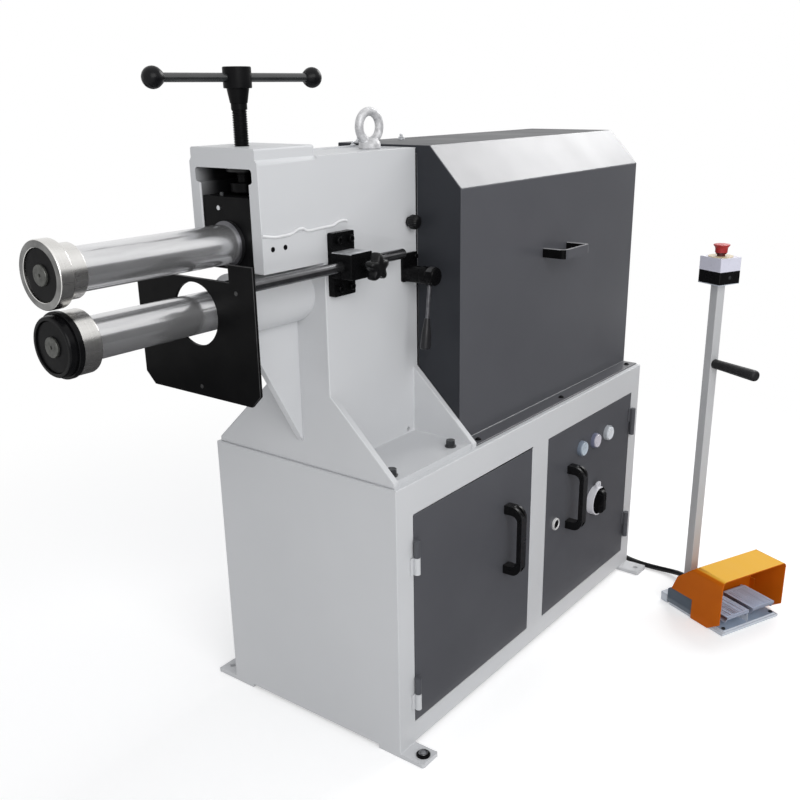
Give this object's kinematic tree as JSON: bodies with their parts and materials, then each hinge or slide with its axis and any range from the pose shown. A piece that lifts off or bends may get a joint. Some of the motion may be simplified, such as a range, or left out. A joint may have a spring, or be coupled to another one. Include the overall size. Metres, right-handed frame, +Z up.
{
  "type": "beading machine",
  "caption": "Motor-driven beading and edge-bending machine: roll shafts on a column and cabinet, pressure screw with tommy bar, depth gauge, drive hood, pedal station with stop post.",
  "frame": {"origin": "centre of the four floor anchor holes, at floor level", "axes": "X along the door face with the rolls at -X, Y to the rear, Z up"},
  "size_m": [1.7676, 1.0138, 1.3695],
  "materials": {
    "light_paint": "satin",
    "dark_paint": "satin",
    "black_plastic": "satin",
    "black_steel": "satin",
    "ground_steel": "satin",
    "bronze": "satin",
    "orange_paint": "satin",
    "grey_aluminium": "satin",
    "pale_plastic": "satin",
    "red_plastic": "gloss",
    "cable_rubber": "matte"
  },
  "bodies": {
    "machine": {"cabinet_body": "light_paint", "cable_glands": "black_plastic", "clamp_block": "black_steel", "column_frame": "light_paint", "control_cable": "cable_rubber", "drive_stand": "light_paint", "electrical_panel": "ground_steel", "eye_bolt": "ground_steel", "gauge_bracket": "black_steel", "gearbox": "dark_paint", "head_frame": "light_paint", "hinge_lower_halves": "light_paint", "hood_handle": "black_plastic", "hood_shell": "dark_paint", "levelling_bush": "black_steel", "lever_base": "black_steel", "lower_shaft_bushes": "bronze", "lower_shaft_housing": "light_paint", "machine_bolts": "black_steel", "motor": "dark_paint", "pedal_base": "grey_aluminium", "pedal_guard": "orange_paint", "pedal_housing": "dark_paint", "pivot_pins": "ground_steel", "post_grip": "black_plastic", "screw_nut": "bronze", "stop_box_base": "black_plastic", "stop_box_lid": "pale_plastic", "stop_post": "light_paint"},
    "left_door_body": {"left_door": "dark_paint", "left_door_handle": "black_plastic"},
    "right_door_body": {"right_door": "dark_paint", "right_door_handle": "black_plastic", "main_switch_shroud": "light_paint"},
    "main_switch": {"main_switch_knob": "black_plastic"},
    "lock": {"cam_lock": "ground_steel"},
    "left_push_button": {"button_left": "pale_plastic"},
    "middle_push_button": {"button_middle": "pale_plastic"},
    "right_push_button": {"button_right": "pale_plastic"},
    "tilting_arm": {"upper_arm": "black_steel", "upper_bushes": "ground_steel"},
    "upper_drive": {"upper_shaft": "ground_steel", "upper_roll": "ground_steel", "upper_roll_cap": "black_steel", "upper_gear": "ground_steel"},
    "lower_drive": {"lower_shaft": "ground_steel", "lower_roll_ring": "black_steel", "lower_roll_collar": "ground_steel", "lower_gear": "ground_steel"},
    "screw_pad": {"pressure_pad": "ground_steel"},
    "screw": {"pressure_screw": "black_steel", "tommy_bar": "black_steel"},
    "depth_gauge": {"gauge_plate": "black_steel", "gauge_rod": "black_steel"},
    "rod_clamp": {"star_knob": "black_plastic"},
    "pivot_knob_body": {"pivot_knob": "black_plastic"},
    "axial_lock": {"shift_lever": "black_steel"},
    "left_foot_pedal": {"left_pedal": "grey_aluminium"},
    "right_foot_pedal": {"right_pedal": "grey_aluminium"},
    "emergency_stop": {"stop_button": "red_plastic"}
  },
  "joints": [
    {"name": "left_door_swing", "type": "hinge", "parent": "machine", "child": "left_door_body", "pos_m": [-0.49475, -0.2554, 0.3], "axis": [0, 0, -1], "range_deg": [0, 110]},
    {"name": "right_door_swing", "type": "hinge", "parent": "machine", "child": "right_door_body", "pos_m": [0.50375, -0.2554, 0.3], "axis": [0, 0, 1], "range_deg": [0, 57]},
    {"name": "main_switch_turn", "type": "hinge", "parent": "right_door_body", "child": "main_switch", "pos_m": [0.3, -0.248, 0.2945], "axis": [0, 1, 0], "range_deg": [0, 90]},
    {"name": "cam_lock_turn", "type": "hinge", "parent": "right_door_body", "child": "lock", "pos_m": [0.092, -0.248, 0.301], "axis": [0, 1, 0], "range_deg": [0, 90]},
    {"name": "button_left_press", "type": "slide", "parent": "right_door_body", "child": "left_push_button", "axis": [0, 1, 0], "range_m": [0, 0.003], "stiffness_N_per_m": 600, "springref_m": -0.002},
    {"name": "button_middle_press", "type": "slide", "parent": "right_door_body", "child": "middle_push_button", "axis": [0, 1, 0], "range_m": [0, 0.003], "stiffness_N_per_m": 600, "springref_m": -0.002},
    {"name": "button_right_press", "type": "slide", "parent": "right_door_body", "child": "right_push_button", "axis": [0, 1, 0], "range_m": [0, 0.003], "stiffness_N_per_m": 600, "springref_m": -0.002},
    {"name": "upper_arm_tilt", "type": "hinge", "parent": "machine", "child": "tilting_arm", "pos_m": [-0.285, 0, 1.076], "axis": [0, 1, 0], "range_deg": [-0.17, 1.73]},
    {"name": "upper_shaft_spin", "type": "hinge", "parent": "tilting_arm", "child": "upper_drive", "pos_m": [-0.285, 0, 1.076], "axis": [1, 0, 0], "continuous": true},
    {"name": "lower_shaft_spin", "type": "hinge", "parent": "machine", "child": "lower_drive", "pos_m": [-0.285, 0, 0.966], "axis": [1, 0, 0], "continuous": true},
    {"name": "press_slide", "type": "slide", "parent": "machine", "child": "screw_pad", "axis": [0, 0, 1], "range_m": [-0.00102, 0.01102]},
    {"name": "screw_turn", "type": "hinge", "parent": "screw_pad", "child": "screw", "pos_m": [-0.652, 0, 1.351], "axis": [0, 0, 1], "range_deg": [-90, 990]},
    {"name": "gauge_slide", "type": "slide", "parent": "machine", "child": "depth_gauge", "axis": [1, 0, 0], "range_m": [-0.12, 0.07]},
    {"name": "star_knob_turn", "type": "hinge", "parent": "machine", "child": "rod_clamp", "pos_m": [-0.502, -0.147, 1.023], "axis": [0, 1, 0], "range_deg": [-180, 180]},
    {"name": "pivot_knob_turn", "type": "hinge", "parent": "machine", "child": "pivot_knob_body", "pos_m": [-0.285, -0.085, 1.076], "axis": [0, 1, 0], "range_deg": [-180, 180]},
    {"name": "shift_lever_turn", "type": "hinge", "parent": "machine", "child": "axial_lock", "pos_m": [-0.298, -0.131, 0.973], "axis": [0, 1, 0], "range_deg": [-8, 60]},
    {"name": "left_pedal_press", "type": "hinge", "parent": "machine", "child": "left_foot_pedal", "pos_m": [0.40473, -0.54739, 0.034], "axis": [0.9145, -0.4045, 0], "range_deg": [0, 7], "stiffness_Nm_per_rad": 8, "springref_deg": -8.59},
    {"name": "right_pedal_press", "type": "hinge", "parent": "machine", "child": "right_foot_pedal", "pos_m": [0.48887, -0.58461, 0.034], "axis": [0.9145, -0.4045, 0], "range_deg": [0, 7], "stiffness_Nm_per_rad": 8, "springref_deg": -8.59},
    {"name": "stop_button_press", "type": "slide", "parent": "machine", "child": "emergency_stop", "axis": [0, 0, -1], "range_m": [0, 0.004], "stiffness_N_per_m": 1500, "springref_m": -0.002}
  ],
  "couplings": [
    {"joint": "upper_shaft_spin", "follows": "lower_shaft_spin", "ratio": -1},
    {"joint": "press_slide", "follows": "screw_turn", "m_per_rad": 0.00063662},
    {"joint": "upper_arm_tilt", "follows": "screw_turn", "ratio": 0.0017347}
  ]
}
